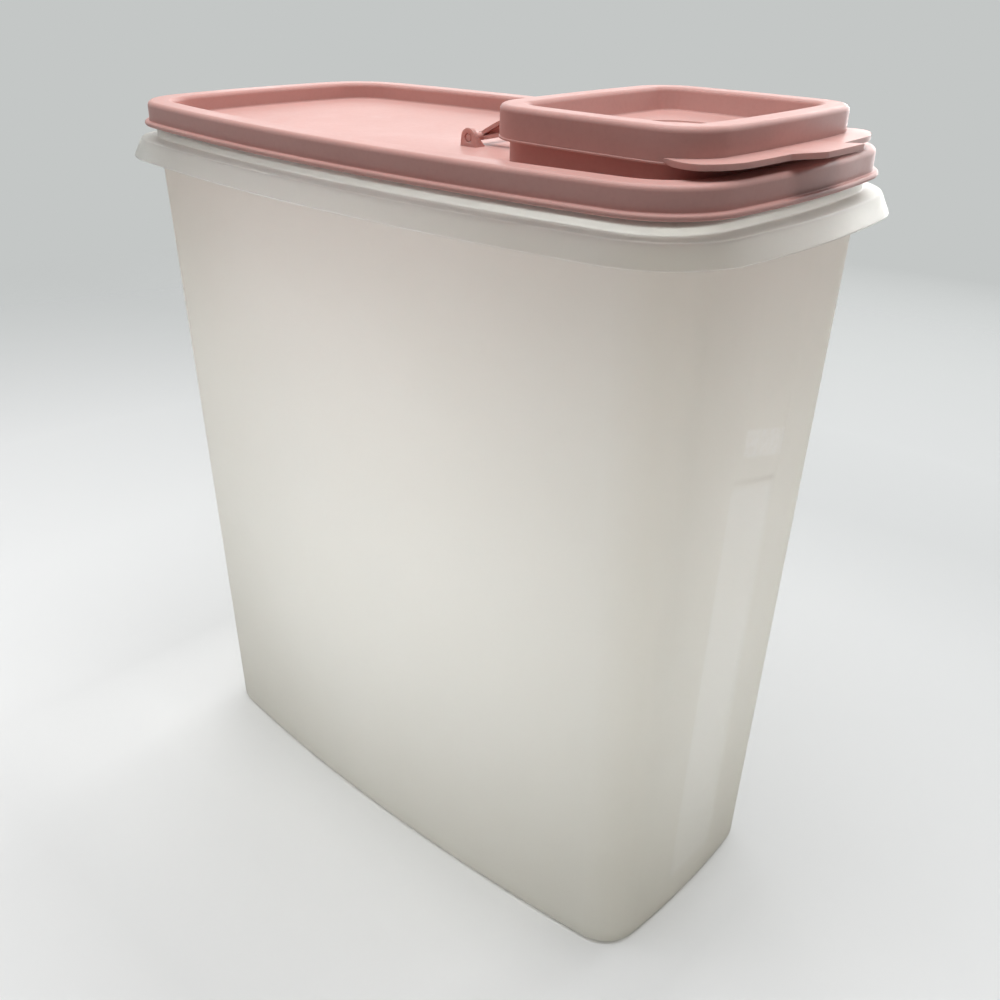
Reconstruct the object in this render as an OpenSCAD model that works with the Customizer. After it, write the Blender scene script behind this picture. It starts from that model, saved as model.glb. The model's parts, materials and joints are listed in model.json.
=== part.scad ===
// Cereal container with a snap-on lid and a flip cap over the pour neck.
// Origin: centre of the base. +X points to the pouring end, +Z up. Millimetres.

/* [Container] */
// Length of the collar that the lid fits over, at mid side
mouth_length = 220; // [200:1:240]
// Width of the collar that the lid fits over, at mid side
mouth_width = 116.8; // [108:0.2:126]
// Corner radius of the collar
mouth_radius = 20.9; // [17:0.1:25]
// Height of the lip that the lid rests on
container_height = 239.8; // [180:0.2:280]
// How much each end wall leans in at the base
end_draft = 6.3; // [3:0.1:10]
// How much each long wall leans in at the base
side_draft = 11.1; // [7:0.1:15]
// Corner radius at the base
foot_radius = 13.6; // [10:0.1:17]
// Rounding where the walls meet the base
foot_fillet = 2.2; // [1.6:0.1:4]
// Radius of the long walls' outward bow at the collar
long_bow_radius = 606; // [500:2:800]
// Radius of the end walls' outward bow at the collar
end_bow_radius = 286; // [240:2:400]
// Radius of the long walls' outward bow at the base
foot_long_bow_radius = 774; // [600:2:1000]
// Radius of the end walls' outward bow at the base
foot_end_bow_radius = 310; // [260:2:420]
// Thickness of the body walls
body_wall = 1.4; // [1:0.1:2.2]
// Thickness of the base
base_thickness = 1.8; // [1.2:0.1:3]
// Thickness of the lip
lip_wall = 1.8; // [1.4:0.1:2.2]

/* [Shoulder] */
// How far the shoulder lies below the lip
shoulder_drop = 8.7; // [7.6:0.1:11]
// How far the shoulder steps in to the body wall
shoulder_step = 0.6; // [0.3:0.1:1.2]
// How far the shoulder reaches out from the collar
shoulder_reach = 5.5; // [4.4:0.1:7]
// How far the skirt flares below the shoulder
skirt_flare = 2.4; // [1:0.1:3.5]
// Height of the skirt
skirt_height = 6.2; // [4:0.1:9]
// Thickness of the skirt
skirt_wall = 1.4; // [1:0.1:1.8]

/* [Grip strip] */
// Width of the sunk strip on each end wall
strip_width = 25.4; // [18:0.2:30]
// Depth of the sunk strip
strip_depth = 0.5; // [0.3:0.1:0.7]
// Height where the strip starts
strip_bottom = 12; // [8:0.5:30]
// Height where the strip ends
strip_top = 157; // [110:1:170]

/* [Lid] */
// Gap between the container's collar and the lid
lid_fit = 0.4; // [0.3:0.05:0.7]
// Gap between the container's lip and the lid above it
seat_gap = 0.3; // [0.2:0.05:0.5]
// Thickness of the lid's walls
lid_wall = 1.6; // [1.2:0.1:2]
// Width of the rim across its crown
rim_width = 8; // [7:0.1:9]
// Thickness of the rim at its crown
crown_thickness = 2.1; // [1.6:0.1:2.6]
// Outer rounding of the crown
crown_outer_round = 1.5; // [1:0.1:2.6]
// Inner rounding of the crown
crown_inner_round = 1.5; // [1:0.1:2.6]
// Height of the rim's outer wall
rim_height = 7.5; // [6.4:0.1:8]
// Thickness of the bead at the rim's lower edge
bead_height = 1.5; // [1:0.1:2]
// How far the bead stands out from the rim
bead_reach = 1.5; // [1:0.1:3]
// Depth of the panel below the crown
panel_depth = 5.6; // [4.6:0.1:7]
// Thickness of the panel
panel_thickness = 1.8; // [1.4:0.1:2.4]
// Fillet at the foot of the panel's walls
panel_fillet = 0.6; // [0.3:0.1:0.8]
// Gap between the container's lip and the sealing leg
leg_clearance = 0.35; // [0.3:0.05:0.6]
// Depth of the sealing leg below the panel
leg_depth = 2.4; // [1.8:0.1:3.2]

/* [Pour neck] */
// Length of the neck
neck_length = 61.8; // [50:0.2:66]
// Width of the neck
neck_width = 75.8; // [64:0.2:84]
// Corner radius of the neck
neck_radius = 10.8; // [8:0.1:14]
// Radius of the neck walls' outward bow
neck_bow_radius = 430; // [320:10:800]
// Thickness of the neck wall
neck_wall = 1.8; // [1.4:0.1:2.2]
// Height of the neck above the panel
neck_height = 14.3; // [13:0.1:18]
// Flat left between the neck and the rim at the pouring end
neck_margin = 1.9; // [1.5:0.1:6]

/* [Flip cap] */
// Gap between the neck and the cap's outer wall
cap_clearance = 1.2; // [0.9:0.1:1.4]
// Thickness of the cap's outer wall
cap_wall = 1.5; // [1.2:0.1:1.8]
// Gap between the neck's top and the cap
cap_seat_gap = 0.3; // [0.2:0.05:0.5]
// Thickness of the cap at its crown
cap_crown_thickness = 1.6; // [1.3:0.1:2]
// Width of the cap's rim across its crown
cap_rim_width = 7.2; // [6.8:0.1:8.2]
// Rounding of the cap's crown
cap_round = 1.5; // [1:0.1:2.6]
// Height of the cap's outer wall
cap_height = 8.3; // [7.6:0.1:9.4]
// Depth of the tray inside the cap's rim
tray_depth = 6.2; // [5.4:0.1:7.6]
// How much the tray's walls lean in
tray_draft = 1; // [0.9:0.1:1.6]
// Thickness of the tray's floor
tray_thickness = 1.5; // [1.2:0.1:2]

/* [Thumb flange] */
// Reach of the flange along the cap's front
flange_reach = 6.3; // [5:0.1:7]
// Thickness of the flange
flange_thickness = 2.1; // [1.6:0.1:2.6]
// How far the flange hangs below the cap's wall
flange_drop = 0.3; // [0.1:0.1:0.8]
// Reach of the thumb tab
tab_reach = 13.7; // [11:0.1:14.5]
// Width of the thumb tab at its tip
tab_width = 18; // [14:0.5:22]
// Length over which the flange swells to the tab
tab_blend = 3; // [2.5:0.5:6]
// How far the thumb tab turns up
tab_rise = 1.1; // [0:0.1:1.6]
// Reach of the fine lip round the rest of the cap's wall
edge_lip = 0.2; // [0.15:0.05:0.4]

/* [Hinge] */
// Diameter of the hinge rod
rod_diameter = 2.2; // [1.8:0.1:2.6]
// Running gap round the rod in its ears
rod_clearance = 0.1; // [0.05:0.01:0.1]
// Distance from the rod to the cap's wall
rod_to_cap = 26.9; // [23:0.1:32]
// Height of the rod's axis above the panel
rod_height = 2.4; // [2.1:0.05:3]
// Outer faces of the two ears apart
ear_span = 29; // [24:0.5:34]
// Thickness of each ear
ear_thickness = 1.6; // [1.4:0.1:2.6]
// Radius of the ears' round tops
ear_radius = 2.75; // [2.3:0.05:3.2]
// Length of each ear at its foot
ear_foot = 6.3; // [5.6:0.1:7]
// Length of the gusset behind each ear
gusset_length = 2.9; // [2:0.1:3.2]
// Thickness of the gusset behind each ear
gusset_thickness = 1.4; // [1:0.1:1.8]
// Gap between each gusset and the arm next to it
arm_gap = 1.0; // [0.4:0.1:1.4]
// Width of each arm
arm_width = 3.2; // [2.4:0.1:4]
// Height of the arms where they meet the cap
arm_root_height = 4.2; // [3:0.1:5.4]
// Flange left round the pocket in each arm
arm_flange = 1.2; // [0.8:0.1:1.5]
// Length of the web between the arms
web_length = 15; // [8:0.5:17]
// Thickness of the web between the arms
web_thickness = 1.4; // [1:0.1:2]

/* [Hidden] */
// Segments of each corner, long wall and rounding
corner_steps = 8;
long_steps = 10;
round_steps = 3;
foot_steps = 4;
// Half width of the blend at the strip's edges
strip_edge = 0.25;
// Points along the cap's front, where the flange waves
front_steps = 28;
// Angles between which the flange grows along the cap's front corners
flange_angle_start = 78;
flange_angle_full = 42;
// Small flats and steps of the lid's section
bead_tip = 0.6;
bead_slope = 0.5;
leg_tip = 0.3;
leg_flare_height = 1.2;
neck_round = 0.5;
lip_round = 0.6;
shoulder_round = 0.7;
shoulder_fall = 0.3;
arc_segments = 48;
bore_chamfer = 0.2;
hub_wall = 0.25;
rod_recess = 0.15;
gusset_gap = 0.3;
gusset_root = 0.4;
arm_steps = 8;
joint_overrun = 1;

shoulder_z = container_height - shoulder_drop;
ceiling_z = container_height + seat_gap;
lid_top_z = ceiling_z + crown_thickness;
rim_bottom_z = lid_top_z - rim_height;
panel_z = lid_top_z - panel_depth;
panel_under_z = panel_z - panel_thickness;
leg_bottom_z = panel_under_z - leg_depth;
lid_face = lid_fit + lid_wall;
rim_inner = lid_face - rim_width;
leg_face = rim_inner + lid_wall;
plug_face = -lip_wall - leg_clearance;

neck_top_z = panel_z + neck_height;
neck_x = mouth_length / 2 + rim_inner - neck_margin - neck_length / 2;
cap_face = cap_clearance + cap_wall;
cap_top_z = neck_top_z + cap_seat_gap + cap_crown_thickness;
cap_bottom_z = cap_top_z - cap_height;
tray_z = cap_top_z - tray_depth;
tray_under_z = tray_z - tray_thickness;
tray_face = cap_face - cap_rim_width;
flange_bottom_z = cap_bottom_z - flange_drop;
flange_top_z = flange_bottom_z + flange_thickness;

cap_back_x = neck_x - neck_length / 2 - cap_face;
rod_x = cap_back_x - rod_to_cap;
rod_z = panel_z + rod_height;
rod_radius = rod_diameter / 2;
bore_radius = rod_radius + rod_clearance;
ear_inner_y = ear_span / 2 - ear_thickness;
arm_outer_y = ear_inner_y - gusset_length - arm_gap;
hub_radius = rod_radius + hub_wall;

// Colours of the two plastics
container_colour = [0.80, 0.79, 0.76, 0.75];
lid_colour = [0.93, 0.78, 0.76];

// A loop is [half length, half width, corner radius, long bow, end bow].
function grow(shape, by) = [for (v = shape) v + by];
function blend(a, b, t) = a + (b - a) * t;
function backwards(list) = [for (i = [len(list) - 1:-1:0]) list[i]];
function smooth(t) = let (u = min(1, max(0, t))) u * u * (3 - 2 * u);

// Centre of the corner arc that is tangent to both bowed walls.
function corner_centre(s) =
  let (low = [0, s[1] - s[3]], left = [s[0] - s[4], 0])
  let (gap = norm(left - low), u = (left - low) / gap)
  let (r1 = s[3] - s[2], r2 = s[4] - s[2])
  let (t = (gap * gap + r1 * r1 - r2 * r2) / (2 * gap))
  low + u * t + sqrt(r1 * r1 - t * t) * [u[1], -u[0]];

// Angles where the corner arc leaves the end wall and meets the long wall.
function end_angle(s) = let (c = corner_centre(s)) atan2(c[1], c[0] - s[0] + s[4]);
function long_angle(s) = let (c = corner_centre(s)) atan2(c[1] - s[1] + s[3], c[0]);

// Points of an arc as [centre x, centre y, radius, angle].
function arc_spots(c, r, from, to, steps) =
  [for (i = [0:steps - 1]) [c[0], c[1], r, blend(from, to, i / steps)]];

// Angles along an end wall, with a pair at each edge of the strip.
function strip_angles(s) =
  let (a = end_angle(s), i = asin((strip_width / 2 - strip_edge) / s[4]))
  let (o = asin((strip_width / 2 + strip_edge) / s[4]))
  [-a, -(a + o) / 2, -o, -i, 0, i, o, (a + o) / 2];

function even_angles(s, steps) =
  let (a = end_angle(s)) [for (i = [0:steps - 1]) blend(-a, a, i / steps)];

// The whole loop, from the end wall on +X round to the last corner.
function loop_spots(s, right, left) =
  let (c = corner_centre(s), a = end_angle(s), b = long_angle(s))
  let (ex = s[0] - s[4], ly = s[1] - s[3])
  concat(
    [for (t = right) [ex, 0, s[4], t]],
    arc_spots(c, s[2], a, b, corner_steps),
    arc_spots([0, ly], s[3], b, 180 - b, long_steps),
    arc_spots([-c[0], c[1]], s[2], 180 - b, 180 - a, corner_steps),
    [for (t = left) [-ex, 0, s[4], 180 + t]],
    arc_spots(-c, s[2], 180 + a, 180 + b, corner_steps),
    arc_spots([0, -ly], s[3], 180 + b, 360 - b, long_steps),
    arc_spots([c[0], -c[1]], s[2], 360 - b, 360 - a, corner_steps)
  );

function spot_xy(p, by = 0) = [p[0] + (p[2] + by) * cos(p[3]), p[1] + (p[2] + by) * sin(p[3])];

// Section points on a quarter turn, as [offset, height].
function quarter(c, r, from, to, steps) =
  [for (i = [0:steps]) let (a = blend(from, to, i / steps)) c + r * [cos(a), sin(a)]];

// Side faces between rings of n points, for rings k and k + 1.
function band(k, l, n) =
  [for (i = [0:n - 1]) let (j = (i + 1) % n)
    each [[k * n + i, l * n + i, l * n + j], [k * n + i, l * n + j, k * n + j]]];

function strip_skin(rings, closed) =
  let (m = len(rings), n = len(rings[0]))
  concat(
    [for (k = [0:m - 2]) each band(k, k + 1, n)],
    closed ? band(m - 1, 0, n) : [[for (i = [0:n - 1]) i]],
    closed ? [] : [[for (i = [n - 1:-1:0]) (m - 1) * n + i]]
  );

module skin(rings, closed = false) {
  polyhedron(
    points = [for (r = rings) each r],
    faces = strip_skin(rings, closed),
    convexity = 8
  );
}

mouth = [
  mouth_length / 2, mouth_width / 2, mouth_radius,
  long_bow_radius, end_bow_radius
];
body_top = grow(mouth, -shoulder_step);
body_foot = [
  body_top[0] - end_draft, body_top[1] - side_draft, foot_radius,
  foot_long_bow_radius, foot_end_bow_radius
];

function body_shape(z) =
  [for (i = [0:4]) blend(body_foot[i], body_top[i], z / shoulder_z)];

function body_ring(z, by, sink = 0) =
  let (s = grow(body_shape(z), by), a = strip_angles(s))
  [for (p = loop_spots(s, a, a))
    let (q = spot_xy(p), in_strip = abs(q[1]) < strip_width / 2)
    let (end = abs(q[0]) > body_foot[0] / 2)
    concat(spot_xy(p, in_strip && end ? -sink : 0), [z])];

function mouth_ring(g) =
  let (s = grow(mouth, g[0]), a = strip_angles(s))
  [for (p = loop_spots(s, a, a)) concat(spot_xy(p), [g[1]])];

shoulder_top = shoulder_z;
shoulder_under = shoulder_z - skirt_wall - shoulder_fall;
skirt_bottom = shoulder_z - skirt_height;
skirt_reach = shoulder_reach + skirt_flare;

module container() {
  foot = quarter([-foot_fillet, foot_fillet], foot_fillet, -90, 0, foot_steps);
  inner_foot = quarter(
    [-foot_fillet, base_thickness + foot_fillet - body_wall],
    foot_fillet - body_wall, 0, -90, round_steps
  );
  rise = 2 * strip_edge;
  outside = concat(
    [for (g = foot) body_ring(g[1], g[0])],
    [body_ring(strip_bottom, 0)],
    [body_ring(strip_bottom + rise, 0, strip_depth)],
    [body_ring(strip_top - rise, 0, strip_depth)],
    [body_ring(strip_top, 0)],
    [body_ring(shoulder_under, 0)]
  );
  inside = [body_ring(shoulder_under, -body_wall)];
  floor_rings = [for (g = inner_foot) body_ring(g[1], g[0])];
  color(container_colour)
    skin(concat(outside, inside, floor_rings));
}

// Shoulder, hanging skirt and lip: the top of the container's moulding.
module collar() {
  profile = [
    [shoulder_reach - skirt_wall, shoulder_under],
    [skirt_reach - skirt_wall, skirt_bottom],
    [skirt_reach, skirt_bottom],
    [shoulder_reach, shoulder_top - shoulder_fall - shoulder_round],
    [shoulder_reach - shoulder_round, shoulder_top - shoulder_fall],
    [0, shoulder_top],
    [0, container_height - lip_round],
    [-lip_round, container_height],
    [-lip_wall + lip_round, container_height],
    [-lip_wall, container_height - lip_round],
    [-lip_wall, shoulder_top]
  ];
  color(container_colour)
    skin(
      concat(
        [body_ring(shoulder_under, 0)],
        [for (g = profile) mouth_ring(g)],
        [body_ring(shoulder_under, -body_wall)]
      ),
      closed = true
    );
}

neck = [neck_length / 2, neck_width / 2, neck_radius, neck_bow_radius, neck_bow_radius];

function shift_x(ring, x) = [for (p = ring) p + [x, 0, 0]];

function neck_ring(g) =
  let (s = grow(neck, g[0]), a = even_angles(s, len(strip_angles(mouth))))
  shift_x([for (p = loop_spots(s, a, a)) concat(spot_xy(p), [g[1]])], neck_x);

module lid() {
  bead_face = lid_face + bead_reach;
  rim = concat(
    quarter([rim_inner - panel_fillet, panel_z + panel_fillet], panel_fillet, -90, 0, round_steps),
    quarter([rim_inner + crown_inner_round, lid_top_z - crown_inner_round],
      crown_inner_round, 180, 90, round_steps),
    quarter([lid_face - crown_outer_round, lid_top_z - crown_outer_round],
      crown_outer_round, 90, 0, round_steps),
    [
      [lid_face, rim_bottom_z + bead_height + bead_slope],
      [lid_face + bead_slope, rim_bottom_z + bead_height],
      [bead_face - bead_tip, rim_bottom_z + bead_height],
      [bead_face, rim_bottom_z + bead_height - bead_tip],
      [bead_face, rim_bottom_z + bead_tip],
      [bead_face - bead_tip, rim_bottom_z],
      [lid_fit, rim_bottom_z],
      [lid_fit, ceiling_z],
      [leg_face, ceiling_z],
      [leg_face, leg_bottom_z + 2 * leg_flare_height],
      [plug_face, leg_bottom_z + leg_flare_height],
      [plug_face, leg_bottom_z + leg_tip],
      [plug_face - leg_tip, leg_bottom_z],
      [plug_face - lid_wall, leg_bottom_z],
      [rim_inner, panel_under_z]
    ]
  );
  spout = concat(
    [
      [-neck_wall, panel_under_z],
      [-neck_wall, neck_top_z - neck_round],
      [-neck_wall + neck_round, neck_top_z],
      [-neck_round, neck_top_z],
      [0, neck_top_z - neck_round]
    ],
    quarter([panel_fillet, panel_z + panel_fillet], panel_fillet, 180, 270, round_steps)
  );
  color(lid_colour)
    skin(
      backwards(concat([for (g = rim) mouth_ring(g)], [for (g = spout) neck_ring(g)])),
      closed = true
    );
}

// How far the front flange has grown at a point of the cap's loop, 0 to 1.
function flange_grown(angle) =
  let (a = abs(angle > 180 ? angle - 360 : angle))
  smooth((flange_angle_start - a) / (flange_angle_start - flange_angle_full));

function tab_grown(y) = smooth((tab_width / 2 + tab_blend - abs(y)) / tab_blend);

function flange_width(p) =
  let (f = flange_grown(p[3]), t = tab_grown(spot_xy(p)[1]) * (f > 0 ? 1 : 0))
  edge_lip + (flange_reach - edge_lip) * f + (tab_reach - flange_reach) * t;

function cap_spots(by) =
  let (s = grow(neck, by))
  loop_spots(s, even_angles(s, front_steps), even_angles(s, 8));

function cap_ring(g) =
  shift_x([for (p = cap_spots(g[0])) concat(spot_xy(p), [g[1]])], neck_x);

// Ring of the flange: out = 1 at its edge, 0 at the wall; up = 1 at its top.
function flange_ring(out, up, back = 0) =
  let (lip_z = cap_bottom_z + 1.5 * edge_lip)
  shift_x([for (p = cap_spots(cap_face))
    let (f = flange_grown(p[3]), w = flange_width(p) * out)
    let (t = tab_grown(spot_xy(p)[1]) * (f > 0 ? 1 : 0))
    let (top = blend(lip_z, flange_top_z, f), low = blend(cap_bottom_z, flange_bottom_z, f))
    concat(spot_xy(p, max(0, w - back)), [blend(low, top, up) + t * out * tab_rise])], neck_x);

module flip_cap() {
  channel_face = tray_face + cap_wall;
  tray_foot = tray_face - tray_draft;
  top = concat(
    [[tray_foot - panel_fillet, tray_z], [tray_foot, tray_z + panel_fillet]],
    quarter([tray_face + cap_round, cap_top_z - cap_round], cap_round, 180, 90, round_steps),
    quarter([cap_face - cap_round, cap_top_z - cap_round], cap_round, 90, 0, round_steps)
  );
  channel = [
    [cap_clearance, cap_bottom_z],
    [cap_clearance, neck_top_z + cap_seat_gap],
    [channel_face, neck_top_z + cap_seat_gap],
    [channel_face - tray_draft, tray_under_z]
  ];
  color(lid_colour)
    skin(backwards(concat(
      [for (g = top) cap_ring(g)],
      [flange_ring(0, 1), flange_ring(1, 1, edge_lip / 2), flange_ring(1, 0.85)],
      [flange_ring(1, 0.15), flange_ring(1, 0, edge_lip / 2)],
      [for (g = channel) cap_ring(g)]
    )));
}

module mirrored_y() {
  children();
  mirror([0, 1, 0])
    children();
}

// A flat profile in X and Z, given thickness along Y from y = from.
module side_plate(from, thickness) {
  translate([0, from + thickness, 0])
    rotate([90, 0, 0])
      linear_extrude(thickness)
        children();
}

// Where the ear's sloping side meets its round top, from the rod's axis.
function ear_tangent() =
  let (foot = [ear_foot / 2, -rod_height])
  let (angle = atan2(foot[1], foot[0]) + acos(ear_radius / norm(foot)))
  ear_radius * [cos(angle), sin(angle)];

module hinge_ears() {
  ear_side = ear_tangent();
  gusset_x = rod_x + bore_radius + gusset_gap;
  color(lid_colour)
    mirrored_y() {
      difference() {
        side_plate(ear_inner_y, ear_thickness)
          translate([rod_x, rod_z])
            union() {
              circle(ear_radius, $fn = arc_segments);
              polygon([
                [-ear_foot / 2, -rod_height],
                [ear_foot / 2, -rod_height],
                ear_side,
                [-ear_side[0], ear_side[1]]
              ]);
            }
        translate([rod_x, 0, panel_z - ear_radius])
          cube([2 * ear_foot, 2 * ear_span, 2 * ear_radius], center = true);
        translate([rod_x, ear_span / 2 + joint_overrun, rod_z])
          rotate([90, 0, 0])
            cylinder(h = ear_thickness + 2 * joint_overrun, r = bore_radius, $fn = arc_segments);
        translate([rod_x, ear_span / 2, rod_z])
          rotate([90, 0, 0])
            cylinder(h = bore_chamfer, r1 = bore_radius + bore_chamfer, r2 = bore_radius,
              $fn = arc_segments);
      }
      translate([gusset_x, 0, 0])
        rotate([90, 0, 90])
          linear_extrude(gusset_thickness)
            polygon([
              [ear_inner_y + gusset_root, panel_z],
              [ear_inner_y + gusset_root, panel_z + rod_height],
              [ear_inner_y, panel_z + rod_height],
              [ear_inner_y - gusset_length, panel_z]
            ]);
    }
}

// Upper and lower edges of an arm at a share t of its way to the cap.
function arm_low(t) = blend(rod_z - hub_radius * 0.9, cap_bottom_z, t);
function arm_high(t) =
  blend(rod_z + hub_radius * 0.9, cap_bottom_z + arm_root_height, 1 - (1 - t) * (1 - t));
function arm_x(t) = blend(rod_x, cap_back_x + cap_face, t);

module arm_profile(from, to, margin) {
  shares = [for (i = [0:arm_steps]) blend(from, to, i / arm_steps)];
  low = [for (t = shares) [arm_x(t), arm_low(t) + margin]];
  high = [for (i = [arm_steps:-1:0]) [arm_x(shares[i]), arm_high(shares[i]) - margin]];
  polygon(concat(low, high));
}

// Block of the cap's outline, grown by a gap, with which the yoke is cut.
module cap_outline(by, height) {
  translate([0, 0, flange_bottom_z - joint_overrun])
    linear_extrude(height + joint_overrun)
      polygon([for (p = cap_spots(cap_face + by)) spot_xy(p) + [neck_x, 0]]);
}

module cap_yoke() {
  arm_inner_y = arm_outer_y - arm_width;
  web_half_y = arm_inner_y + arm_width / 4;
  rod_length = ear_span - 2 * rod_recess;
  color(lid_colour)
    difference() {
      union() {
        translate([rod_x, rod_length / 2, rod_z])
          rotate([90, 0, 0])
            cylinder(h = rod_length, r = rod_radius, $fn = arc_segments);
        mirrored_y()
          difference() {
            union() {
              side_plate(arm_inner_y, arm_width)
                arm_profile(0, 1, 0);
              side_plate(arm_inner_y, arm_width)
                translate([rod_x, rod_z])
                  circle(hub_radius, $fn = arc_segments);
            }
            side_plate(arm_outer_y - arm_width / 2, arm_width)
              arm_profile(0.14, 1.2, arm_flange);
          }
        translate([cap_back_x - web_length, -web_half_y, cap_bottom_z])
          cube([web_length + cap_face, 2 * web_half_y, web_thickness]);
      }
      cap_outline(0, flange_drop + cap_height + joint_overrun);
      cap_outline(edge_lip, flange_drop + 2 * edge_lip);
    }
}

container();
collar();
lid();
hinge_ears();
flip_cap();
cap_yoke();
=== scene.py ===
"""Tall cereal container with a press-on lid and a flip spout."""
import functools
import json
import logging
import math
from dataclasses import dataclass, replace
from enum import Enum
from typing import Callable, Iterable, Sequence

import bmesh
import bpy
from mathutils import Matrix, Vector

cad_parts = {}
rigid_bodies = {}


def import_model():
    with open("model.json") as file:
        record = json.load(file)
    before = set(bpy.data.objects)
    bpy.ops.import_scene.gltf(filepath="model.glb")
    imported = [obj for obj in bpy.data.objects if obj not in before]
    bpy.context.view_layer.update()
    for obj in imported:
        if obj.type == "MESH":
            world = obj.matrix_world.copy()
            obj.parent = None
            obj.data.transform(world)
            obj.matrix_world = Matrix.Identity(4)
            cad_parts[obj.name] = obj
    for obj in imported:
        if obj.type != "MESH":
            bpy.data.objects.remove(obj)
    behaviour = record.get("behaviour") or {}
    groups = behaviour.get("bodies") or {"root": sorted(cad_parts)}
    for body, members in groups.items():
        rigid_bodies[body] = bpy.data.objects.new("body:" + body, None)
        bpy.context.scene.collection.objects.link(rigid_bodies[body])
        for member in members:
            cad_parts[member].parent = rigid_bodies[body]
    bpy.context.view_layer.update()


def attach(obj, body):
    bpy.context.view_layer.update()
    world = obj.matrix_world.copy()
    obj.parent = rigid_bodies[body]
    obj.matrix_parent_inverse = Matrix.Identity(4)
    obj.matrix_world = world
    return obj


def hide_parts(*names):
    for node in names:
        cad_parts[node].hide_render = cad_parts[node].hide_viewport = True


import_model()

LOG = logging.getLogger("container")
MM = 0.001
Spot = tuple[float, float]
Colour = tuple[float, float, float, float]
Socket = bpy.types.NodeSocket
Value = Socket | float | Colour


def heading(angle: float) -> Vector:
    """Returns the level direction at an angle in degrees from +X."""
    return Vector((math.cos(math.radians(angle)), math.sin(math.radians(angle)), 0))


def smooth(share: float) -> float:
    """Returns a smooth step of a share that is clamped to 0 and 1."""
    share = min(1.0, max(0.0, share))
    return share * share * (3 - 2 * share)


def spread(start: float, stop: float, steps: int) -> list[float]:
    """Returns evenly spaced values, both ends included."""
    return [start + (stop - start) * i / steps for i in range(steps + 1)]


class Body(Enum):
    """Rigid bodies of the frame."""

    CONTAINER = "container"
    LID = "lid"
    CAP = "flip_cap"


class Slot(Enum):
    """Material slots of the record."""

    CLEAR = "clear_plastic"
    PINK = "pink_plastic"


@dataclass(frozen=True)
class Outline:
    """A rounded rectangle with bowed walls, seen from above, in millimetres."""

    half_length: float
    half_width: float
    corner: float
    long_bow: float
    end_bow: float
    centre_x: float = 0.0
    half_end_steps: int = 7
    corner_steps: int = 14
    long_steps: int = 28

    def grown(self, by: float) -> "Outline":
        """Returns the parallel outline that lies further out by `by`."""
        return Outline(
            self.half_length + by, self.half_width + by, self.corner + by,
            self.long_bow + by, self.end_bow + by, self.centre_x,
        )

    def corner_centre(self) -> Vector:
        """Returns the centre of the corner arc, tangent to both bowed walls."""
        low = Vector((0.0, self.half_width - self.long_bow))
        left = Vector((self.half_length - self.end_bow, 0.0))
        gap = (left - low).length
        way = (left - low) / gap
        to_long, to_end = self.long_bow - self.corner, self.end_bow - self.corner
        along = (gap**2 + to_long**2 - to_end**2) / (2 * gap)
        out = math.sqrt(to_long**2 - along**2)
        return low + way * along + out * Vector((way.y, -way.x))

    def end_angle(self) -> float:
        """Returns the angle at which the end wall meets the corner."""
        centre = self.corner_centre()
        return math.atan2(centre.y, centre.x - self.half_length + self.end_bow)

    def long_angle(self) -> float:
        """Returns the angle at which the corner meets the long wall."""
        centre = self.corner_centre()
        return math.atan2(centre.y - self.half_width + self.long_bow, centre.x)

    def past(self, place: Vector) -> float:
        """Returns how far a place lies outside the outline."""
        centre = self.corner_centre()
        x, y = abs(place.x - self.centre_x), abs(place.y)
        angle = math.atan2(y - centre.y, x - centre.x)
        if angle < self.end_angle():
            return math.hypot(x - self.half_length + self.end_bow, y) - self.end_bow
        if angle > self.long_angle():
            return math.hypot(x, y - self.half_width + self.long_bow) - self.long_bow
        return math.hypot(x - centre.x, y - centre.y) - self.corner

    def legs(self) -> list[tuple[Spot, float, int]]:
        """Lists the arcs of the outline, from the middle of the +X end.

        Returns:
            The centre, the angle and the segments of each arc in turn.
        """
        corner, mid = self.corner_centre(), self.centre_x
        low, high = self.end_angle(), self.long_angle()
        end = self.half_length - self.end_bow
        long = self.half_width - self.long_bow
        legs = [((mid + end, 0.0), low, self.half_end_steps)]
        for side, halves in ((1, 2), (-1, 1)):
            legs += [
                ((mid + side * corner.x, side * corner.y), high - low, self.corner_steps),
                ((mid, side * long), math.pi - 2 * high, self.long_steps),
                ((mid - side * corner.x, side * corner.y), high - low, self.corner_steps),
                ((mid - side * end, 0.0), halves * low, halves * self.half_end_steps),
            ]
        return legs


class Section:
    """A section drawn as offsets from an outline and heights, in millimetres."""

    def __init__(self, *spots: Spot) -> None:
        """Starts a section at the given spots."""
        self.spots: list[Spot] = list(spots)

    def to(self, *spots: Spot) -> "Section":
        """Adds straight runs to the given spots."""
        self.spots.extend(spots)
        return self

    def turn(self, centre: Spot, radius: float, start: float, stop: float,
             steps: int = 6) -> "Section":
        """Adds an arc.

        Args:
            centre: Offset and height of the arc's centre.
            radius: Radius of the arc.
            start: Angle of its first spot in degrees, from outwards to up.
            stop: Angle of its last spot in degrees.
            steps: Segments of the arc.

        Returns:
            The section itself.
        """
        for angle in spread(start, stop, steps):
            way = math.cos(math.radians(angle)), math.sin(math.radians(angle))
            self.spots.append((centre[0] + radius * way[0], centre[1] + radius * way[1]))
        return self


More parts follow.
